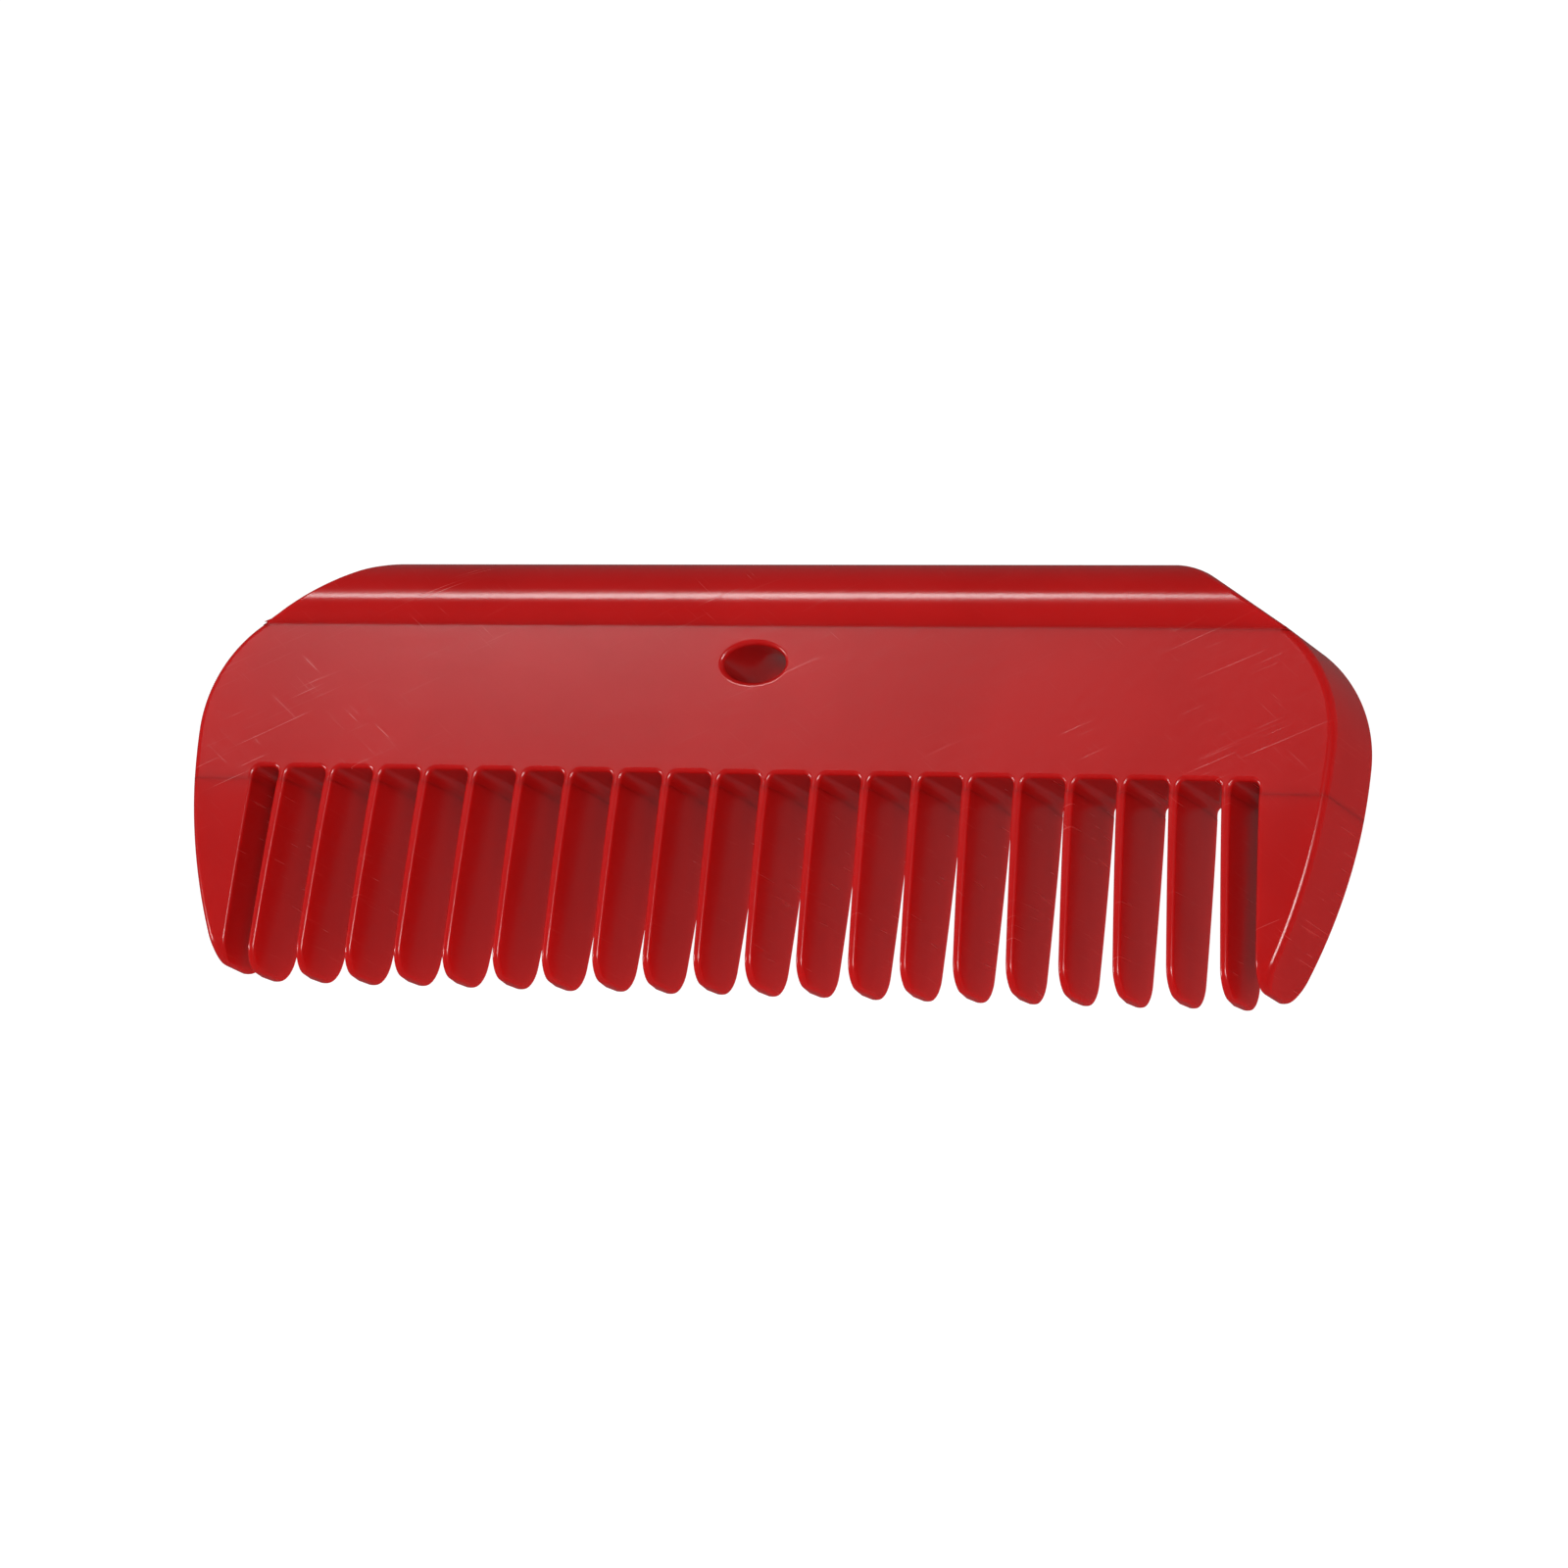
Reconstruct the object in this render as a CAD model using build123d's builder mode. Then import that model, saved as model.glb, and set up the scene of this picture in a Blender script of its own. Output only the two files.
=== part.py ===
from build123d import *
from math import radians, sqrt, tan
import os

# A moulded mane comb, lying on its back.
# X runs along the comb, +Y runs from the tooth tips to the grip rail, +Z is up, out of the front face.
# The origin is the centre of the comb's box, on the surface that it lies on.
# The real comb is one moulding. Its sections are separate solids here, and they meet face to face.

# Driving dimensions, in mm.
tooth_length = 21.0  # gap roots to tooth tips
back_height = 22.7  # gap roots to the top of the grip rail
plate_thickness = 11.0
tip_thickness = 8.6  # front to back, at the tips
wedge_start = 1.3  # the faces start to close in this far below the gap roots

rail_height = 10.2  # the rail's oval section, along Y
rail_overhang = 0.7  # and it stands this far proud of each face of the plate
rail_end_radius = 12.0
rail_end_slope = 32.0  # degrees; each end of the rail slopes down to the shoulder
rail_end_setback = 1.4  # from each end of the rail's joint to the foot of that slope

widest_above_root = 3.8

tooth_count = 20
tooth_pitch = 5.45  # at the gap roots
tooth_land = 1.0  # width of a tooth's front and back edges
tooth_waist = 1.6  # width of a tooth at the mould's parting plane
tooth_fan = 0.033  # the pitch at the tips is larger by this share
tooth_tip_taper = 0.2  # a tooth is this much narrower at its tip
tooth_tip_radius = 3.1  # each tip is rounded from front to back
end_gap = 2.9  # from the last tooth to an end guard, at the front face
guard_width = 7.325  # from a guard's inner wall to the end of the comb
guard_tip_width = 0.92
guard_flare = 1.4  # an end guard's inner wall leans outwards by this, as the teeth do
guard_tip_lift = 0.8  # the guards stop this far short of the tooth tips

hole_length = 7.3
hole_height = 4.4
hole_below_joint = 3.946  # from the line where the rail and the plate meet to the hole's middle
hole_rim_radius = 0.4

outer_edge_radius = 0.8

# Places that follow from the driving dimensions.
last_tooth_x = tooth_pitch * (tooth_count - 1) / 2
guard_wall_x = last_tooth_x + tooth_land / 2 + end_gap
half_length = guard_wall_x + guard_width
half_plate = plate_thickness / 2
half_tip = tip_thickness / 2
rail_depth = plate_thickness + 2 * rail_overhang
mid_z = rail_depth / 2
tip_y = -(tooth_length + back_height) / 2
root_y = tip_y + tooth_length
top_y = root_y + back_height
rail_y = top_y - rail_height / 2
widest_y = root_y + widest_above_root
wedge_y = root_y - wedge_start
guard_tip_y = tip_y + guard_tip_lift

# The rail's oval leaves the plate's faces on one line, where the rail and the plate meet.
joint_y = rail_y - rail_height / 2 * sqrt(1 - (plate_thickness / rail_depth) ** 2)
hole_y = joint_y - hole_below_joint

# Below the widest line, each end is an arc that runs in to the outer corner of a guard's tip.
guard_tip_x = guard_wall_x + guard_flare + guard_tip_width
flank_inset = half_length - guard_tip_x
flank_radius = (flank_inset**2 + (widest_y - guard_tip_y) ** 2) / (2 * flank_inset)

# Above it, each shoulder is an arc that rises to the middle of the rail, and the rail slopes down to it.
shoulder_radius = rail_y - widest_y
shoulder_centre_x = half_length - shoulder_radius
joint_end_x = shoulder_centre_x + sqrt(shoulder_radius**2 - (joint_y - widest_y) ** 2)
foot_x = joint_end_x - rail_end_setback
foot_y = widest_y + sqrt(shoulder_radius**2 - (foot_x - shoulder_centre_x) ** 2)
corner_x = foot_x - (top_y - foot_y) / tan(radians(rail_end_slope))


def flank_x(y):
    """Half the comb's length at a height below its widest line."""
    reach = sqrt(flank_radius**2 - (widest_y - y) ** 2)
    return half_length - flank_radius + reach


def wedge(end_y):
    """The closing envelope of the teeth or guards down to end_y, as a side profile pulled along X."""
    closing = (half_plate - half_tip) * (wedge_y - end_y) / (wedge_y - tip_y)
    with BuildPart(mode=Mode.PRIVATE) as envelope:
        with BuildSketch(Plane.YZ) as side:
            with BuildLine():
                Polyline(
                    (root_y, mid_z - half_plate),
                    (root_y, mid_z + half_plate),
                    (wedge_y, mid_z + half_plate),
                    (end_y, mid_z + half_plate - closing),
                    (end_y, mid_z - half_plate + closing),
                    (wedge_y, mid_z - half_plate),
                    close=True,
                )
            make_face()
            fillet(side.vertices().group_by(Axis.X)[0], tooth_tip_radius)
        extrude(amount=half_length, both=True)
    return envelope.part


print("comb box", 2 * half_length, top_y - tip_y, rail_depth)
print("gap between teeth at the faces", tooth_pitch - tooth_land)

os.makedirs("parts", exist_ok=True)

# Plate: the flat body between the gap roots and the rail, with an oval hanging hole.
with BuildPart() as comb_plate:
    with BuildSketch(Plane.XY.offset(mid_z)):
        with BuildLine():
            root_line = Line((-flank_x(root_y), root_y), (flank_x(root_y), root_y))
            RadiusArc(root_line @ 1, (half_length, widest_y), -flank_radius)
            RadiusArc((half_length, widest_y), (joint_end_x, joint_y), -shoulder_radius)
            Line((joint_end_x, joint_y), (-joint_end_x, joint_y))
            RadiusArc((-joint_end_x, joint_y), (-half_length, widest_y), -shoulder_radius)
            RadiusArc((-half_length, widest_y), root_line @ 0, -flank_radius)
        make_face()
    extrude(amount=half_plate, both=True)
    outline_edges = [
        edge
        for edge in comb_plate.edges().filter_by(GeomType.CIRCLE)
        if abs(edge.center().Z - mid_z) > half_plate / 2
    ]
    fillet(outline_edges, outer_edge_radius)
    with BuildSketch(Plane.XY.offset(mid_z)):
        with Locations((0, hole_y)):
            Ellipse(hole_length / 2, hole_height / 2)
    extrude(amount=half_plate, both=True, mode=Mode.SUBTRACT)
    rim_edges = [
        edge
        for edge in comb_plate.edges().filter_by(GeomType.ELLIPSE)
        if abs(edge.center().X) < hole_length / 2 and abs(edge.center().Y - hole_y) < hole_height
    ]
    fillet(rim_edges, hole_rim_radius)

comb_plate.part.label = "comb_plate"
export_step(comb_plate.part, "parts/comb_plate.step")


# Grip rail: an oval bar, flat where it meets the plate. Its ends slope down to the plate's shoulders.
with BuildPart() as grip_rail:
    with BuildSketch(Plane.YZ):
        with Locations((rail_y, mid_z)):
            Ellipse(rail_height / 2, rail_depth / 2)
    extrude(amount=half_length, both=True)
    split(bisect_by=Plane((0, joint_y, 0), z_dir=(0, 1, 0)), keep=Keep.TOP)
    with BuildSketch(Plane.XY.offset(mid_z)) as beyond_ends:
        with BuildLine():
            RadiusArc((joint_end_x, joint_y), (foot_x, foot_y), -shoulder_radius)
            Polyline(
                (foot_x, foot_y),
                (corner_x, top_y),
                (corner_x - rail_end_radius, top_y),
                (corner_x - rail_end_radius, top_y + rail_height),
                (half_length + rail_height, top_y + rail_height),
                (half_length + rail_height, joint_y),
                (joint_end_x, joint_y),
            )
        make_face()
        fillet(beyond_ends.vertices().sort_by_distance((corner_x, top_y))[0], rail_end_radius)
        mirror(about=Plane.YZ)
    extrude(amount=rail_depth, both=True, mode=Mode.SUBTRACT)

grip_rail.part.label = "grip_rail"
export_step(grip_rail.part, "parts/grip_rail.step")

# End guards: the plate runs on down past each end of the tooth row, to a thin rounded tip.
with BuildPart() as right_end_guard:
    with BuildSketch(Plane.XY):
        with BuildLine():
            guard_top = Line((guard_wall_x, root_y), (flank_x(root_y), root_y))
            RadiusArc(guard_top @ 1, (flank_x(guard_tip_y), guard_tip_y), flank_radius)
            Polyline(
                (flank_x(guard_tip_y), guard_tip_y),
                (guard_wall_x + guard_flare, guard_tip_y),
                guard_top @ 0,
            )
        make_face()
    extrude(amount=rail_depth)
    add(wedge(guard_tip_y), mode=Mode.INTERSECT)
    flank = right_end_guard.faces().filter_by(GeomType.CYLINDER).sort_by(Axis.X)[-1]
    fillet(flank.edges().filter_by(GeomType.LINE, reverse=True), outer_edge_radius)

right_end_guard.part.label = "right_end_guard"
export_step(right_end_guard.part, "parts/right_end_guard.step")

left_end_guard = mirror(right_end_guard.part, about=Plane.YZ)
left_end_guard.label = "left_end_guard"
export_step(left_end_guard, "parts/left_end_guard.step")


def fin_section(y, x, narrowing):
    """A tooth's section at a height, widest at the parting plane."""
    half_land = (tooth_land - narrowing) / 2
    half_waist = (tooth_waist - narrowing) / 2
    with BuildSketch(Plane.XZ.offset(-y), mode=Mode.PRIVATE) as section:
        with BuildLine():
            Polyline(
                (x - half_land, mid_z - half_plate),
                (x + half_land, mid_z - half_plate),
                (x + half_waist, mid_z),
                (x + half_land, mid_z + half_plate),
                (x - half_land, mid_z + half_plate),
                (x - half_waist, mid_z),
                close=True,
            )
        make_face()
    return section.sketch.face()


# Teeth: flat fins that fan out a little, thickest at the parting plane and rounded over at the tip.
tooth_envelope = wedge(tip_y)
for index in range(tooth_count):
    tooth_x = tooth_pitch * index - last_tooth_x
    with BuildPart() as tooth:
        loft(
            [
                fin_section(root_y, tooth_x, 0),
                fin_section(tip_y, tooth_x * (1 + tooth_fan), tooth_tip_taper),
            ],
            ruled=True,
        )
        add(tooth_envelope, mode=Mode.INTERSECT)
    tooth.part.label = f"tooth_{index + 1:02d}"
    export_step(tooth.part, f"parts/{tooth.part.label}.step")
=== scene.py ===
# %% [markdown]
# # A moulded mane comb
# The comb is one piece of red injection-moulded plastic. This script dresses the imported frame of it: every
# section of the frame gets a detailed piece of its own, with rounded edges, filleted gap roots and a satin
# finish with scuffs. The frame is in metres. The pieces are built in millimetres around the comb's parting
# plane, where the two halves of the mould meet, and are scaled and lifted into place when they are finished.

# %% Load the frame
import random
from math import asin, atan2, cos, degrees, radians, sin, sqrt, tan

import bmesh
import bpy
from mathutils import Matrix, Vector


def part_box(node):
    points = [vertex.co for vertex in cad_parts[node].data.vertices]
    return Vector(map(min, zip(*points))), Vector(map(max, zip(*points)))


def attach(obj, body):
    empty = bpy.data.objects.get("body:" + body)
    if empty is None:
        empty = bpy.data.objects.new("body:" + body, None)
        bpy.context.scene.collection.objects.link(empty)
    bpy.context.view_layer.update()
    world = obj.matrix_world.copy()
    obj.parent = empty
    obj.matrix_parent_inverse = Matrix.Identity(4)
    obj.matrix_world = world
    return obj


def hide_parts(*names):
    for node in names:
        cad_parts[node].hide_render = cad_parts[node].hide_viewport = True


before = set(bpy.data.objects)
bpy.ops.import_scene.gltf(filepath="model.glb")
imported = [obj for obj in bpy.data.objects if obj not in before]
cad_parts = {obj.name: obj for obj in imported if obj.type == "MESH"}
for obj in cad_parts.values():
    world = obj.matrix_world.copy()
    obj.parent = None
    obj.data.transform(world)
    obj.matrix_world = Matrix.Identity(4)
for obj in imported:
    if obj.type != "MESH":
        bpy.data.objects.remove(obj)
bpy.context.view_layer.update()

MM = 0.001
print("frame nodes:", len(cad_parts))

# %% [markdown]
# ## Where everything is
# The frame's boxes give the outer sizes: the plate's faces, the line of the gap roots, the tooth tips and
# the rail's top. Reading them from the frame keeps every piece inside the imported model.

# %% Sizes read from the frame


def node_box(name):
    """A node's lowest and highest corners, in millimetres."""
    low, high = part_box(name)
    return Vector(low) / MM, Vector(high) / MM


plate_low, plate_high = node_box("comb_plate")
rail_low, rail_high = node_box("grip_rail")
guard_low = node_box("right_end_guard")[0]
tooth_names = sorted(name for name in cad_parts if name.startswith("tooth_"))
first_low = node_box(tooth_names[0])[0]

half_length = plate_high.x
half_plate = (plate_high.z - plate_low.z) / 2
mid_z = (plate_high.z + plate_low.z) / 2
half_rail = (rail_high.z - rail_low.z) / 2
root_y = plate_low.y
joint_y = plate_high.y
top_y = rail_high.y
tip_y = first_low.y
guard_tip_y = guard_low.y
print("plate half thickness", round(half_plate, 3), "gap roots at y", round(root_y, 3))
print("tooth tips at y", round(tip_y, 3), "rail top at y", round(top_y, 3))

# %% [markdown]
# ## The comb's curves
# The comb's outline is made of arcs: each end bows out to its widest line a little above the gap roots, runs
# over a round shoulder, and stops at the grip rail. The teeth and end guards thin towards their tips, gently
# at first. These few functions give the outline at any height, so that every piece agrees on it.

# %% Outline and wedge
FLANK_RADIUS = 60.045
SHOULDER_RADIUS = 13.8
WIDEST_ABOVE_ROOT = 3.8
WEDGE_START = 1.3
widest_y = root_y + WIDEST_ABOVE_ROOT
wedge_y = root_y - WEDGE_START
shoulder_centre = Vector((half_length - SHOULDER_RADIUS, widest_y, 0))
flank_centre = Vector((half_length - FLANK_RADIUS, widest_y, 0))
HALF_TIP = 4.3
TIP_RADIUS = 3.1
closing = half_plate - HALF_TIP
end_slope = 1.5 * closing / (wedge_y - tip_y)


def flank_x(y):
    """Half the comb's length at a height below its widest line."""
    return flank_centre.x + sqrt(FLANK_RADIUS**2 - (widest_y - y) ** 2)


def shoulder_x(y):
    """Half the comb's length at a height above its widest line."""
    return shoulder_centre.x + sqrt(SHOULDER_RADIUS**2 - (y - widest_y) ** 2)


def flat_depth(y):
    """Half the thickness of the teeth at a height, before their tips are rounded."""
    return half_plate - closing * (max(wedge_y - y, 0) / (wedge_y - tip_y)) ** 1.5


def half_depth(y, end_y):
    """Half the thickness of a tooth or guard that ends at end_y, rounded over at its tip."""
    lean = sqrt(1 + end_slope**2)
    centre_y = end_y + TIP_RADIUS
    if y > centre_y - TIP_RADIUS * end_slope / lean:
        return flat_depth(y)
    centre_z = flat_depth(centre_y) - TIP_RADIUS * lean
    return centre_z + sqrt(max(TIP_RADIUS**2 - (centre_y - y) ** 2, 0))


print("half length at the seam", round(flank_x(wedge_y), 3))
print("half thickness at a tip", round(half_depth(tip_y, tip_y), 3))

# %% [markdown]
# ## Colour and nodes
# Colours are picked as sRGB hex values, and Blender's shaders work in linear light, so one function converts
# them. One more adds a shader node, sets its options, and fills its inputs with values or links.

# %% Helpers for materials


def linear(hex_colour):
    """An sRGB hex colour as linear red, green, blue and alpha."""
    channels = [int(hex_colour[place : place + 2], 16) / 255 for place in (1, 3, 5)]
    channels = [c / 12.92 if c <= 0.04045 else ((c + 0.055) / 1.055) ** 2.4 for c in channels]
    return (*channels, 1.0)


def add_node(tree, kind, inputs=None, **settings):
    """Adds a node of a kind, with its settings, and its inputs as values or as sockets to link."""
    node = tree.nodes.new(kind)
    for name, value in settings.items():
        setattr(node, name, value)
    for name, value in (inputs or {}).items():
        if isinstance(value, bpy.types.NodeSocket):
            tree.links.new(value, node.inputs[name])
        else:
            node.inputs[name].default_value = value
    return node


print("moulded red, linear:", [round(c, 3) for c in linear("#b81416")[:3]])

# %% [markdown]
# ## The plastic
# The comb is coloured all through, in polypropylene or a similar moulding plastic, and its mould was finely
# polished and then worn. So the surface is satin rather than mirror-like. It has a slight orange peel, the
# tint drifts over a couple of centimetres where the melt flowed, and handling has left fine scuffs. Light
# goes a little way into the plastic, red furthest, which brightens the thin teeth. The scuffs are drawn as
# thin streaks of stretched noise: they are rougher and a touch paler than the rest.

# %% Red moulded polypropylene
red_plastic = bpy.data.materials.new("red_moulded_polypropylene")
red_plastic.use_nodes = True
tree = red_plastic.node_tree
tree.nodes.clear()
place = add_node(tree, "ShaderNodeTexCoord").outputs["Object"]

# Flow of the melt: patches about 16 mm across.
flow = add_node(
    tree,
    "ShaderNodeTexNoise",
    {"Vector": place, "Scale": 1 / (16 * MM), "Detail": 3.0, "Roughness": 0.55},
)
flow_share = add_node(
    tree,
    "ShaderNodeMapRange",
    {"Value": flow.outputs["Fac"], "From Min": 0.35, "From Max": 0.65},
)
tint = add_node(
    tree,
    "ShaderNodeMix",
    {"Factor": flow_share.outputs["Result"]},
    data_type="RGBA",
)
tint.inputs[6].default_value = linear("#b3100f")
tint.inputs[7].default_value = linear("#ba1414")

# Scuffs: streaks 9 mm long and about 0.25 mm wide, wider than real ones so that they show, in patches.
turned = add_node(
    tree,
    "ShaderNodeMapping",
    {
        "Vector": place,
        "Rotation": (0.0, 0.0, radians(24)),
        "Scale": (9 * MM, 0.25 * MM, 9 * MM),
    },
    vector_type="TEXTURE",
)
streaks = add_node(
    tree,
    "ShaderNodeTexNoise",
    {"Vector": turned.outputs["Vector"], "Scale": 1.0, "Detail": 1.0},
)
crossed = add_node(
    tree,
    "ShaderNodeMapping",
    {
        "Vector": place,
        "Rotation": (0.0, 0.0, radians(-38)),
        "Scale": (6 * MM, 0.22 * MM, 6 * MM),
    },
    vector_type="TEXTURE",
)
cross_streaks = add_node(
    tree,
    "ShaderNodeTexNoise",
    {"Vector": crossed.outputs["Vector"], "Scale": 1.0, "Detail": 1.0},
)
stronger = add_node(
    tree,
    "ShaderNodeMath",
    {0: streaks.outputs["Fac"], 1: cross_streaks.outputs["Fac"]},
    operation="MAXIMUM",
)
thin = add_node(
    tree,
    "ShaderNodeMapRange",
    {"Value": stronger.outputs["Value"], "From Min": 0.68, "From Max": 0.8},
)
worn_patches = add_node(
    tree,
    "ShaderNodeTexNoise",
    {"Vector": place, "Scale": 1 / (22 * MM), "Detail": 2.0},
)
worn_share = add_node(
    tree,
    "ShaderNodeMapRange",
    {"Value": worn_patches.outputs["Fac"], "From Min": 0.42, "From Max": 0.62},
)
scuffs = add_node(
    tree,
    "ShaderNodeMath",
    {0: thin.outputs["Result"], 1: worn_share.outputs["Result"]},
    operation="MULTIPLY",
)
scuffed_tint = add_node(
    tree,
    "ShaderNodeMix",
    {"Factor": scuffs.outputs["Value"]},
    data_type="RGBA",
)
tree.links.new(tint.outputs[2], scuffed_tint.inputs[6])
scuffed_tint.inputs[7].default_value = linear("#bf2a27")

roughness = add_node(
    tree,
    "ShaderNodeMapRange",
    {"Value": scuffs.outputs["Value"], "To Min": 0.2, "To Max": 0.32},
)

# Orange peel: soft dimples about 1.1 mm apart and 2 microns deep.
peel = add_node(
    tree,
    "ShaderNodeTexNoise",
    {"Vector": place, "Scale": 1 / (1.1 * MM), "Detail": 2.0},
)
peel_bump = add_node(
    tree,
    "ShaderNodeBump",
    {"Height": peel.outputs["Fac"], "Strength": 0.35, "Distance": 0.02 * MM},
)
scuff_bump = add_node(
    tree,
    "ShaderNodeBump",
    {
        "Height": scuffs.outputs["Value"],
        "Normal": peel_bump.outputs["Normal"],
        "Strength": 0.4,
        "Distance": 0.01 * MM,
    },
)
skin = add_node(
    tree,
    "ShaderNodeBsdfPrincipled",
    {
        "Base Color": scuffed_tint.outputs[2],
        "Roughness": roughness.outputs["Result"],
        "IOR": 1.49,
        "Subsurface Weight": 0.6,
        "Subsurface Radius": (3.0, 0.3, 0.25),
        "Subsurface Scale": MM,
        "Normal": scuff_bump.outputs["Normal"],
    },
)
add_node(tree, "ShaderNodeOutputMaterial", {"Surface": skin.outputs["BSDF"]})
print(red_plastic.name, "has", len(tree.nodes), "nodes")

# %% [markdown]
# ## Finishing a piece
# Every piece ends in the same way. Its doubles are merged and its faces turned outwards, it is lifted off
# the floor and scaled to metres, and its faces are shaded smooth. A Weighted Normal modifier lets the big
# flat faces keep their own direction, so that only the rounded edges show a gradient.

# %% Finish a piece


def finished_piece(bm, name, node_name):
    """Turns a bmesh in millimetres into a finished piece that stands for one node of the frame."""
    bmesh.ops.remove_doubles(bm, verts=bm.verts, dist=0.002)
    bmesh.ops.recalc_face_normals(bm, faces=bm.faces)
    bmesh.ops.translate(bm, verts=bm.verts, vec=(0, 0, mid_z))
    bmesh.ops.scale(bm, verts=bm.verts, vec=(MM, MM, MM))
    open_edges = sum(not edge.is_manifold for edge in bm.edges)
    mesh = bpy.data.meshes.new(name)
    bm.to_mesh(mesh)
    bm.free()
    mesh.shade_smooth()
    mesh.set_sharp_from_angle(angle=radians(34))
    mesh.materials.append(red_plastic)
    piece = bpy.data.objects.new(name, mesh)
    bpy.context.scene.collection.objects.link(piece)
    weighting = piece.modifiers.new("weighted_normals", "WEIGHTED_NORMAL")
    weighting.keep_sharp = True
    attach(piece, "root")
    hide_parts(node_name)
    print(name, len(mesh.polygons), "faces,", open_edges, "open edges")
    return piece


# %% [markdown]
# ## Drawing an outline
# A flat outline can be drawn as with a pen: a vertex is extruded and moved for each straight run, and spun
# about a centre for each arc. Two small helpers do that, and keep the last vertex drawn.

# %% The pen


def line_to(bm, vert, x, y):
    """Extrudes a vertex and moves the new one to a place. Returns the new vertex."""
    drawn = bmesh.ops.extrude_vert_indiv(bm, verts=[vert])["verts"][0]
    drawn.co = (x, y, vert.co.z)
    return drawn


def arc_to(bm, vert, centre, angle, steps):
    """Spins a vertex about an upright axis through a centre. Returns the last vertex."""
    centre = (centre[0], centre[1], vert.co.z)
    spun = bmesh.ops.spin(
        bm, geom=[vert], cent=centre, axis=(0, 0, 1), angle=angle, steps=steps
    )
    return next(item for item in spun["geom_last"] if isinstance(item, bmesh.types.BMVert))


# %% [markdown]
# ## The teeth's places
# There are twenty teeth, evenly spaced at their roots, and they fan out a little towards the tips, like the
# ribs of a fan. Each is 1 mm wide along its front and back edges and 1.6 mm wide at the parting plane,
# because a mould's walls lean so that the moulding can slide out.

# %% Where each tooth stands
PITCH = 5.45
HALF_LAND = 0.5
WAIST_BULGE = 0.3
FAN = 0.033
TIP_TAPER = 0.1
tooth_roots = [PITCH * (index - (len(tooth_names) - 1) / 2) for index in range(len(tooth_names))]
right_roots = [x for x in tooth_roots if x > 0]
END_GAP = 2.9
GUARD_FLARE = 1.4
guard_wall_x = right_roots[-1] + HALF_LAND + END_GAP
guard_lean = GUARD_FLARE / (root_y - guard_tip_y)


def down_share(y):
    """How far down the teeth a height is, from 0 at the gap roots to 1 at the tips."""
    return (root_y - y) / (root_y - tip_y)


print("teeth on the right half:", len(right_roots), "guard wall at", round(guard_wall_x, 3))

# %% [markdown]
# ## The plate
# The plate is the flat body of the comb, and it takes in the first millimetre of every tooth, so that the
# fillets in the gap roots are part of one smooth mesh. It could be cut out with booleans, but those leave
# ragged edges that bevel badly. The comb is the same on both sides, and front and back, so a quarter of it
# is drawn instead: the outline of the right half, with half of the hanging hole, is filled and extruded to
# the parting plane.

# %% Draw the right half's outline
HOLE_HALF_LENGTH = 3.4
HOLE_HALF_HEIGHT = 1.95
RAIL_FOOT = 0.22
seam_y = joint_y - RAIL_FOOT
HOLE_BELOW_JOINT = 3.946
hole_y = joint_y - HOLE_BELOW_JOINT

plate = bmesh.new()
start = plate.verts.new((0, root_y, half_plate))
pen = start
lean = 1 + FAN * down_share(wedge_y)
foot_half = HALF_LAND - TIP_TAPER * down_share(wedge_y)
for root_x in right_roots:
    pen = line_to(plate, pen, root_x - HALF_LAND, root_y)
    pen = line_to(plate, pen, root_x * lean - foot_half, wedge_y)
    pen = line_to(plate, pen, root_x * lean + foot_half, wedge_y)
    pen = line_to(plate, pen, root_x + HALF_LAND, root_y)
pen = line_to(plate, pen, guard_wall_x, root_y)
pen = line_to(plate, pen, guard_wall_x + guard_lean * (root_y - wedge_y), wedge_y)
pen = line_to(plate, pen, flank_x(wedge_y), wedge_y)
flank_turn = atan2(widest_y - wedge_y, pen.co.x - flank_centre.x)
pen = arc_to(plate, pen, flank_centre, flank_turn, 8)
shoulder_turn = asin((seam_y - widest_y) / SHOULDER_RADIUS)
pen = arc_to(plate, pen, shoulder_centre, shoulder_turn, 28)
pen = line_to(plate, pen, 0, pen.co.y)
pen = line_to(plate, pen, 0, hole_y + HOLE_HALF_HEIGHT)
before_hole = set(plate.verts)
pen = arc_to(plate, pen, (0, hole_y), radians(-180), 28)
hole_verts = [vert for vert in plate.verts if vert not in before_hole]
for vert in hole_verts:
    vert.co.x *= HOLE_HALF_LENGTH / HOLE_HALF_HEIGHT
plate.edges.new((pen, start))
front_face = bmesh.ops.contextual_create(plate, geom=plate.edges[:])["faces"][0]
print("outline of", len(front_face.verts), "vertices, shoulder turns", round(degrees(shoulder_turn), 1))

# %% [markdown]
# The filled outline is extruded down to the parting plane, where every tooth is wider, so the new corners of
# each tooth move out. Then the upright corners in the gap roots get their fillets.

# %% Give the plate its half thickness and fillet the gap roots
pulled = bmesh.ops.extrude_face_region(plate, geom=[front_face])["geom"]
mid_verts = [item for item in pulled if isinstance(item, bmesh.types.BMVert)]
bmesh.ops.translate(plate, verts=mid_verts, vec=(0, 0, -half_plate))
for vert in mid_verts:
    if vert.co.y > root_y + 0.01 or vert.co.x > guard_wall_x - 0.01:
        continue
    nearest = min(right_roots, key=lambda root_x: abs(vert.co.x - root_x))
    if abs(vert.co.x - nearest) < 2 * HALF_LAND:
        vert.co.x += WAIST_BULGE if vert.co.x > nearest else -WAIST_BULGE

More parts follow.
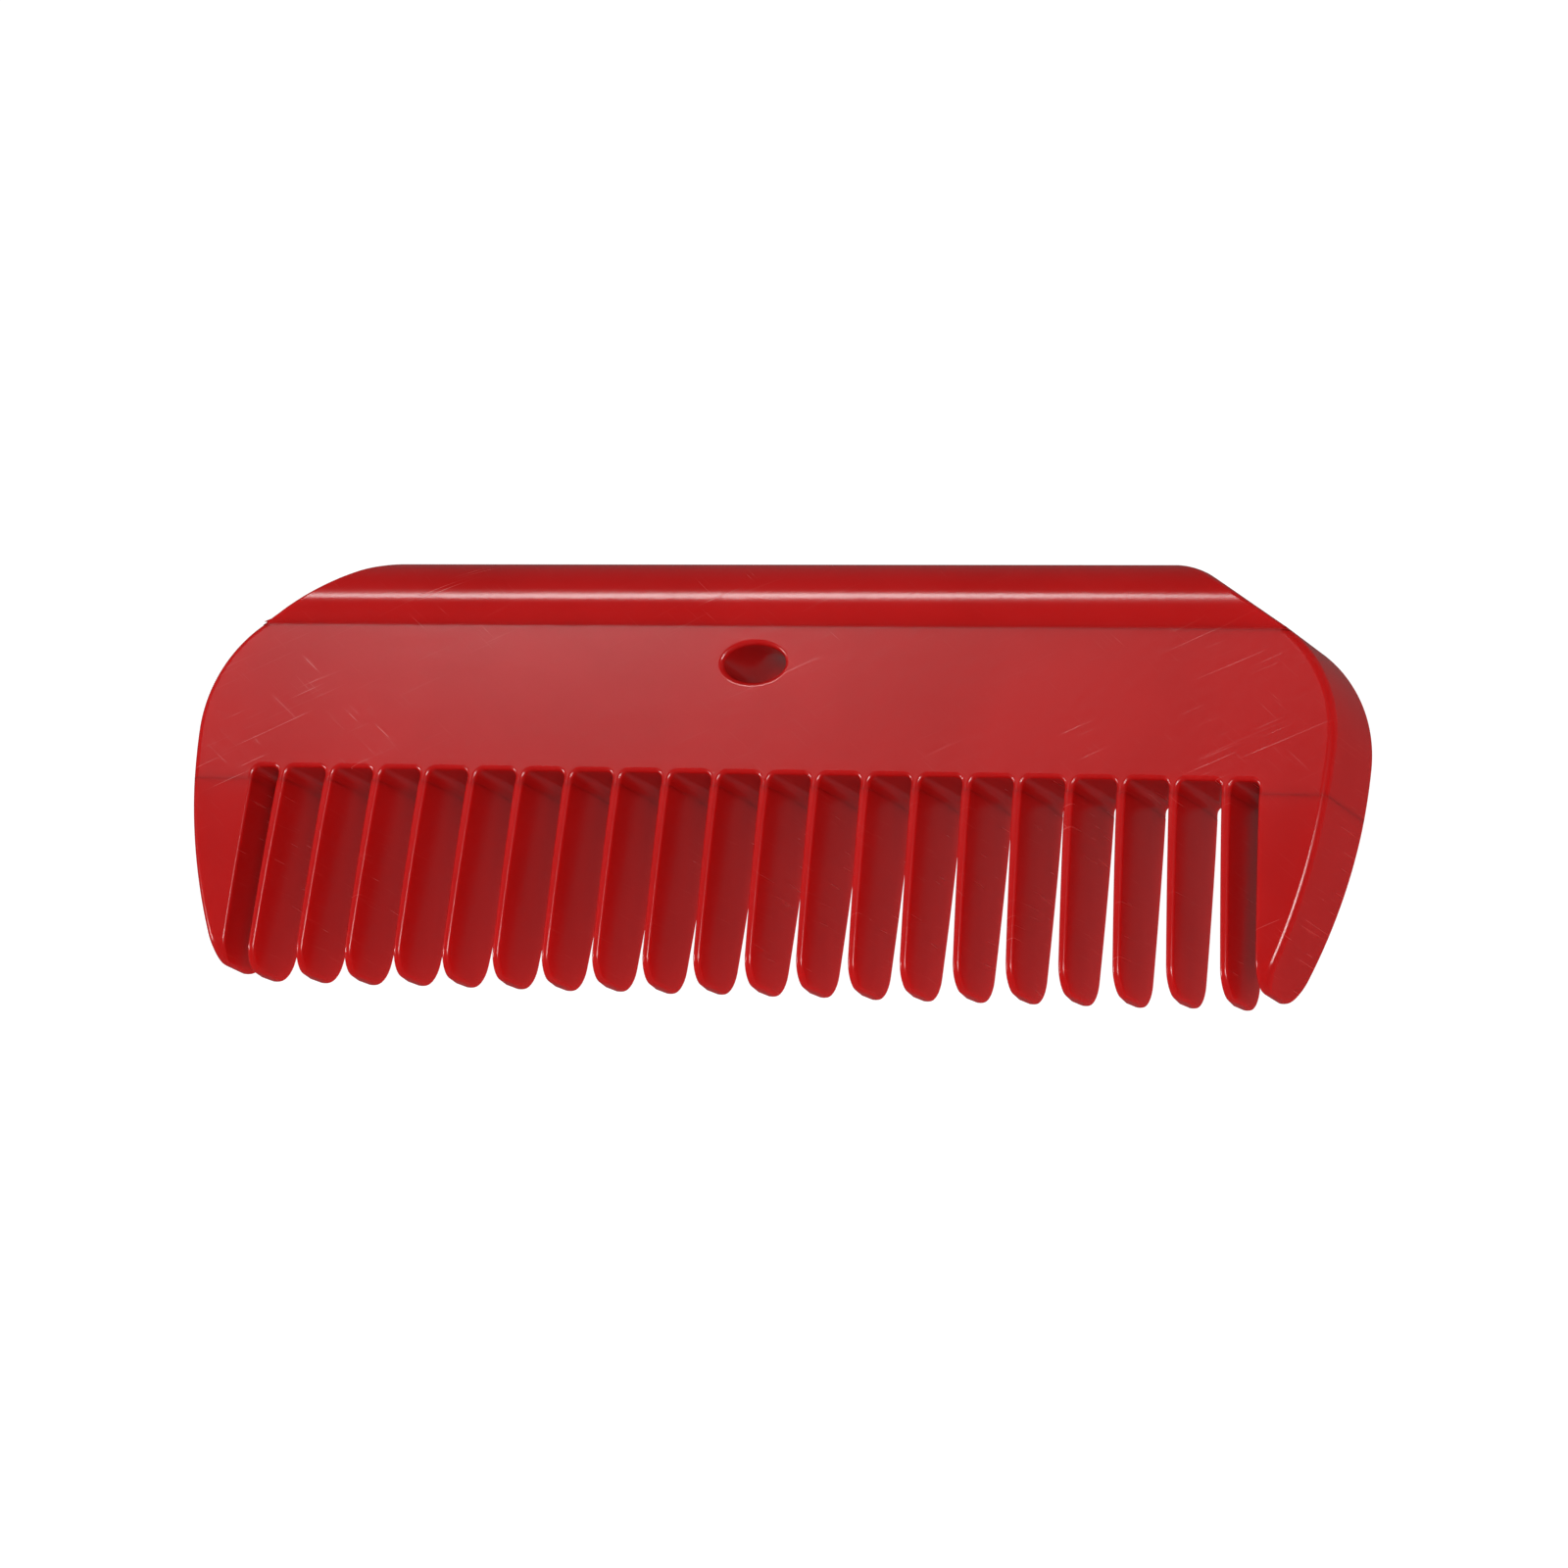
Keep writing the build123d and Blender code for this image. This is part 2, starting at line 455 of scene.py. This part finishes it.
root_corners = [
    edge
    for edge in plate.edges
    if abs(edge.verts[0].co.z - edge.verts[1].co.z) > 1
    and max(abs(vert.co.y - root_y) for vert in edge.verts) < 0.01
    and edge.verts[0].co.x > 0.1
]
bmesh.ops.bevel(
    plate,
    geom=root_corners,
    offset=0.8,
    offset_type="OFFSET",
    segments=6,
    profile=0.5,
    affect="EDGES",
    material=-1,
)
print("filleted", len(root_corners), "corners in the gap roots")

# %% [markdown]
# The front rims are rounded next: a broad radius round the ends, a smaller one along the gap roots, and a
# soft lip on the hanging hole. Last, the faces on the two mirror planes are removed, and the quarter is
# mirrored into the whole plate.

# %% Round the rims and mirror
GAP_RIM_RADIUS = 0.45
HOLE_RIM_RADIUS = 0.5
OUTER_EDGE_RADIUS = 0.8


def on_front(edge):
    """Whether an edge lies on the front face's own border."""
    return all(abs(vert.co.z - half_plate) < 0.001 for vert in edge.verts)


def round_rim(bm, belongs, offset, segments):
    """Bevels the front rim's edges for which belongs(middle of the edge) holds. Returns how many."""
    rim = [
        edge
        for edge in bm.edges
        if on_front(edge) and belongs((edge.verts[0].co + edge.verts[1].co) / 2)
    ]
    bmesh.ops.bevel(
        bm,
        geom=rim,
        offset=offset,
        offset_type="OFFSET",
        segments=segments,
        profile=0.5,
        affect="EDGES",
        material=-1,
    )
    return len(rim)




def on_gap(at):
    """Whether a place is on the gap roots' rim."""
    return wedge_y + 0.01 < at.y < root_y + 1 and at.x < guard_wall_x + 1


def on_hole(at):
    """Whether a place is on the hanging hole's rim."""
    return 0.01 < at.x < HOLE_HALF_LENGTH + 0.1 and abs(at.y - hole_y) < HOLE_HALF_HEIGHT + 0.1


def on_end(at):
    """Whether a place is on the comb's bowed end or shoulder."""
    below_seam = wedge_y + 0.01 < at.y < seam_y - 0.01 and abs(at.y - root_y) > 0.01
    return at.x > guard_wall_x + 1 and below_seam


gap_rim = round_rim(plate, on_gap, GAP_RIM_RADIUS, 5)
hole_rim = round_rim(plate, on_hole, HOLE_RIM_RADIUS, 5)
end_rim = round_rim(plate, on_end, OUTER_EDGE_RADIUS, 5)
print("rounded", gap_rim, "gap edges,", hole_rim, "hole edges and", end_rim, "end edges")
inner = [
    face
    for face in plate.faces
    if all(abs(vert.co.z) < 0.001 for vert in face.verts)
    or all(abs(vert.co.x) < 0.001 for vert in face.verts)
]
bmesh.ops.delete(plate, geom=inner, context="FACES")
for axis in "ZX":
    everything = plate.verts[:] + plate.edges[:] + plate.faces[:]
    bmesh.ops.mirror(plate, geom=everything, matrix=Matrix.Identity(4), merge_dist=0.001, axis=axis)
finished_piece(plate, "moulded_plate", "comb_plate")

# %% [markdown]
# ## The grip rail
# The rail is an oval bar along the back of the comb, a little proud of both faces. Each of its ends slopes
# down to the plate's shoulder. The rail starts as a circle squashed into the oval section. The oval is cut
# off at the plate and a short web is pulled down from the cut, so that the inner corner between can be
# filleted.

# %% The rail's section
RAIL_HEIGHT = 10.2
RAIL_END_RADIUS = 12.0
RAIL_END_SLOPE = radians(32)
rail_y = top_y - RAIL_HEIGHT / 2
RAIL_END_SETBACK = 1.4
foot_x = rail_high.x - RAIL_END_SETBACK
foot_y = widest_y + sqrt(SHOULDER_RADIUS**2 - (foot_x - shoulder_centre.x) ** 2)
corner_x = foot_x - (top_y - foot_y) / tan(RAIL_END_SLOPE)
arc_start_x = corner_x - RAIL_END_RADIUS * tan(RAIL_END_SLOPE / 2)
arc_end_y = top_y - RAIL_END_RADIUS * (1 - cos(RAIL_END_SLOPE))

rail = bmesh.new()
bmesh.ops.create_circle(
    rail, cap_ends=True, segments=120, radius=1, matrix=Matrix.Rotation(radians(90), 4, "Y")
)
bmesh.ops.scale(rail, verts=rail.verts, vec=(1, RAIL_HEIGHT / 2, half_rail))
bmesh.ops.translate(rail, verts=rail.verts, vec=(-rail_high.x, rail_y, 0))
everything = rail.verts[:] + rail.edges[:] + rail.faces[:]
bmesh.ops.bisect_plane(
    rail, geom=everything, plane_co=(0, joint_y, 0), plane_no=(0, -1, 0), clear_outer=True
)
cut_edge = [edge for edge in rail.edges if all(abs(vert.co.y - joint_y) < 0.001 for vert in edge.verts)]
web = bmesh.ops.extrude_edge_only(rail, edges=cut_edge)["geom"]
web_verts = [item for item in web if isinstance(item, bmesh.types.BMVert)]
bmesh.ops.translate(rail, verts=web_verts, vec=(0, -1.2, 0))
bmesh.ops.dissolve_faces(rail, faces=rail.faces[:])
print("rail section of", len(rail.verts), "vertices")

# %% [markdown]
# The section is extruded along the comb. The long inner corners get a fillet, the rims of both ends are
# rounded, and each end face is pulled in towards its middle in rings. Then every vertex moves along the comb
# by the end's outline at its own height, which slopes the flat ends. On ends as steep as these the end faces
# fold over themselves. That is a known fault of this piece, seen from behind and from the side.

# %% Pull the rail out and shape its ends
pulled = bmesh.ops.extrude_face_region(rail, geom=rail.faces[:])["geom"]
far_verts = [item for item in pulled if isinstance(item, bmesh.types.BMVert)]
bmesh.ops.translate(rail, verts=far_verts, vec=(2 * rail_high.x, 0, 0))
bmesh.ops.recalc_face_normals(rail, faces=rail.faces)
inner_corners = [
    edge
    for edge in rail.edges
    if abs(edge.verts[0].co.x - edge.verts[1].co.x) > 1
    and abs(edge.verts[0].co.y - joint_y) < 0.001
]
bmesh.ops.bevel(
    rail,
    geom=inner_corners,
    offset=RAIL_FOOT,
    offset_type="OFFSET",
    segments=4,
    profile=0.5,
    affect="EDGES",
    material=-1,
)
rims = [
    edge
    for edge in rail.edges
    if abs(edge.verts[0].co.x - edge.verts[1].co.x) < 0.001
    and max(vert.co.y for vert in edge.verts) > joint_y - 1
]
bmesh.ops.bevel(
    rail,
    geom=rims,
    offset=0.8,
    offset_type="OFFSET",
    segments=5,
    profile=0.5,
    affect="EDGES",
    material=-1,
)
ends = [face for face in rail.faces if abs(face.normal.x) > 0.99 and len(face.verts) > 20]
for end in ends:
    for share in (0.96, 0.94, 0.9, 0.85, 0.78, 0.68, 0.5):
        ring = bmesh.ops.extrude_face_region(rail, geom=[end])["geom"]
        end = next(item for item in ring if isinstance(item, bmesh.types.BMFace))
        to_centre = Matrix.Translation((0, -rail_y, 0))
        bmesh.ops.scale(rail, verts=end.verts, vec=(1, share, share), space=to_centre)
    bmesh.ops.poke(rail, faces=[end])


def rail_half_x(y):
    """Half the rail's length at a height: the shoulder, then the slope, then the round at its top."""
    if y < foot_y:
        return shoulder_x(y)
    if y < arc_end_y:
        return foot_x - (y - foot_y) / tan(RAIL_END_SLOPE)
    below = max(top_y - y, 0)
    return arc_start_x + sqrt(RAIL_END_RADIUS**2 - (RAIL_END_RADIUS - below) ** 2)


for vert in rail.verts:
    side = 1 if vert.co.x > 0 else -1
    vert.co.x -= side * (rail_high.x - rail_half_x(vert.co.y))
everything = rail.verts[:] + rail.edges[:] + rail.faces[:]
cut = bmesh.ops.bisect_plane(
    rail, geom=everything, plane_co=(0, seam_y, 0), plane_no=(0, -1, 0), clear_outer=True
)
bmesh.ops.holes_fill(rail, edges=[item for item in cut["geom_cut"] if isinstance(item, bmesh.types.BMEdge)])
print("rail ends have", len(ends), "inset faces, filleted", len(inner_corners), "long corners")
finished_piece(rail, "moulded_grip_rail", "grip_rail")

# %% [markdown]
# ## A fin
# Teeth and end guards are fins: long, thin, and rounded on every edge. Bevelling a thin fin folds its faces
# over each other near the tip, so a fin is lofted instead. It starts as a round tube, cut into rings along
# its length. Each ring is then pulled out into a rounded oblong: the ring's four quarters become its
# corners. The corners on the tube's left and right stay at the parting plane, where a tooth is widest.

# %% Shape a fin from rings


def lofted_fin(rings, segments):
    """A closed fin through rings of (y, left x, right x, half depth, left radius, right radius, bulge)."""
    fin = bmesh.new()
    bmesh.ops.create_cone(fin, cap_ends=True, segments=segments, radius1=1, radius2=1, depth=1)
    long_edges = [edge for edge in fin.edges if abs(edge.verts[0].co.z - edge.verts[1].co.z) > 0.5]
    bmesh.ops.subdivide_edges(fin, edges=long_edges, cuts=len(rings) - 2)
    for vert in fin.verts:
        across, along, level = vert.co
        ring = rings[round((0.5 - level) * (len(rings) - 1))]
        y, left, right, depth, left_radius, right_radius, bulge = ring
        radius = right_radius if across > 0 else left_radius
        x = right - radius + radius * across if across > 0 else left + radius + radius * across
        z = (depth - radius) * (1 if along > 0 else -1) + radius * along
        if abs(across) < 0.001:
            x = (left + right) / 2
        if abs(along) < 0.001:
            x += bulge if across > 0 else -bulge
            z = 0
        vert.co = (x, y, z)
    return fin


def ring_heights(end_y, steps):
    """Heights of a fin's rings: even down its length, then closer together round its tip."""
    arc_top = end_y + TIP_RADIUS
    straight = [wedge_y + (arc_top - wedge_y) * step / steps for step in range(steps)]
    arc = [arc_top - TIP_RADIUS * sin(radians(turn)) for turn in (5, 15, 25, 35, 45, 54, 62, 69)]
    return straight + arc + [end_y + gap for gap in (0.14, 0.08, 0.03, 0)]


def tip_inset(y, end_y, radius):
    """How far a fin's sides draw in at a height, to round its very tip from side to side."""
    above = min(y - end_y, radius)
    return radius - sqrt(radius**2 - (radius - above) ** 2)


print("rings on a tooth:", len(ring_heights(tip_y, 5)))

# %% [markdown]
# ## The teeth
# The teeth share one shape, but no two mouldings are quite alike: each tip is a few hundredths of a
# millimetre off in length and place. The random numbers are seeded, so the comb is the same every time.

# %% Twenty teeth
random.seed(20)
EDGE_RADIUS = 0.33
for root_x, node_name in zip(tooth_roots, tooth_names):
    end_y = tip_y + random.uniform(0.0, 0.1)
    drift = random.uniform(-0.06, 0.06)
    rings = []
    for y in ring_heights(end_y, 5):
        share = down_share(y)
        centre_x = root_x * (1 + FAN * share) + drift * share**2
        half_width = HALF_LAND - TIP_TAPER * share - tip_inset(y, end_y, 0.3)
        radius = min(EDGE_RADIUS, half_width)
        depth = half_depth(y, end_y)
        rings.append((y, centre_x - half_width, centre_x + half_width, depth, radius, radius, WAIST_BULGE))
    finished_piece(lofted_fin(rings, 28), "moulded_" + node_name, node_name)

# %% [markdown]
# ## The end guards
# Each end of the plate runs on down past the last tooth to a thin tip. The outer side follows the comb's
# bowed end with the same broad edge as the plate, and the inner side leans outwards as the teeth do.

# %% Two end guards
for side, node_name in ((1, "right_end_guard"), (-1, "left_end_guard")):
    rings = []
    for y in ring_heights(guard_tip_y, 16):
        inset = tip_inset(y, guard_tip_y, 0.35)
        left = guard_wall_x + guard_lean * (root_y - y) + inset
        right = flank_x(y) - inset
        inner_radius = min(EDGE_RADIUS, (right - left) / 2)
        outer_radius = min(OUTER_EDGE_RADIUS, (right - left) / 2)
        rings.append((y, left, right, half_depth(y, guard_tip_y), inner_radius, outer_radius, 0))
    guard = lofted_fin(rings, 40)
    bmesh.ops.scale(guard, verts=guard.verts, vec=(side, 1, 1))
    finished_piece(guard, "moulded_" + node_name, node_name)

# %% [markdown]
# ## Floor and backdrop
# The comb lies on the opal acrylic of a light table. It looks plain white, its light comes up between the
# teeth, and it shows no shadow. It is left out of the comb's reflections, so that the undersides stay red.

# %% The floor
acrylic = bpy.data.materials.new("opal_acrylic_light_table")
acrylic.use_nodes = True
acrylic_skin = acrylic.node_tree.nodes["Principled BSDF"]
acrylic_skin.inputs["Base Color"].default_value = linear("#505050")
acrylic_skin.inputs["Roughness"].default_value = 0.9
acrylic_skin.inputs["Emission Color"].default_value = linear("#ffffff")
acrylic_skin.inputs["Emission Strength"].default_value = 1.0

sheet = bmesh.new()
bmesh.ops.create_grid(sheet, x_segments=1, y_segments=1, size=2.0)
sheet_mesh = bpy.data.meshes.new("floor")
sheet.to_mesh(sheet_mesh)
sheet.free()
sheet_mesh.materials.append(acrylic)
floor = bpy.data.objects.new("floor", sheet_mesh)
bpy.context.scene.collection.objects.link(floor)
floor.visible_glossy = False
print("floor", [round(size, 2) for size in floor.dimensions])

# %% [markdown]
# ## Light
# A broad softbox beside the camera lights the faces and reaches down between the teeth. A long one behind
# the rail draws the bright band along its curve, and a smaller one at the left picks out the rims. A dim
# surround fills the shadows.

# %% Surround and softboxes
world = bpy.data.worlds.new("studio_surround")
bpy.context.scene.world = world
world.use_nodes = True
world.node_tree.nodes["Background"].inputs["Color"].default_value = linear("#ffffff")
world.node_tree.nodes["Background"].inputs["Strength"].default_value = 0.1


def softbox(name, place, aim, size, watts):
    """An oblong area light at a place, turned towards a point."""
    data = bpy.data.lights.new(name, "AREA")
    data.shape = "RECTANGLE"
    data.size, data.size_y = size
    data.energy = watts
    light = bpy.data.objects.new(name, data)
    light.location = place
    light.rotation_euler = (Vector(aim) - Vector(place)).to_track_quat("-Z", "Y").to_euler()
    bpy.context.scene.collection.objects.link(light)
    return light


softbox("softbox_by_camera", (0.55, -0.26, 1.0), (0, 0, 0), (0.45, 0.45), 8.9)
softbox("strip_above_rail", (-0.43, 0.42, 0.8), (0, 0, 0), (0.3, 0.14), 2.2)
softbox("box_left", (-0.77, -0.18, 0.41), (0, 0, 0), (0.2, 0.2), 2.7)

# %% [markdown]
# ## Camera
# The camera looks down on the comb's front face, from the right and a little below the tooth tips, through a
# long lens. It is placed by turning it about a target on the comb and then backing it away.

# %% The camera
camera_data = bpy.data.cameras.new("camera")
camera_data.lens = 168.3
camera_data.sensor_width = 36.0
camera_data.clip_start = 0.01
camera_data.clip_end = 10.0
camera = bpy.data.objects.new("camera", camera_data)
bpy.context.scene.collection.objects.link(camera)
target = Matrix.Translation((2.28 * MM, -0.53 * MM, mid_z * MM))
swing = Matrix.Rotation(radians(26.18), 4, "Y")
tip_down = Matrix.Rotation(radians(12.57), 4, "X")
roll = Matrix.Rotation(radians(6.99), 4, "Z")
back_off = Matrix.Translation((0, 0, 0.7292))
camera.matrix_world = target @ swing @ tip_down @ roll @ back_off
bpy.context.scene.camera = camera
bpy.context.scene.view_settings.view_transform = "Standard"
print("camera at", [round(value, 3) for value in camera.matrix_world.translation])
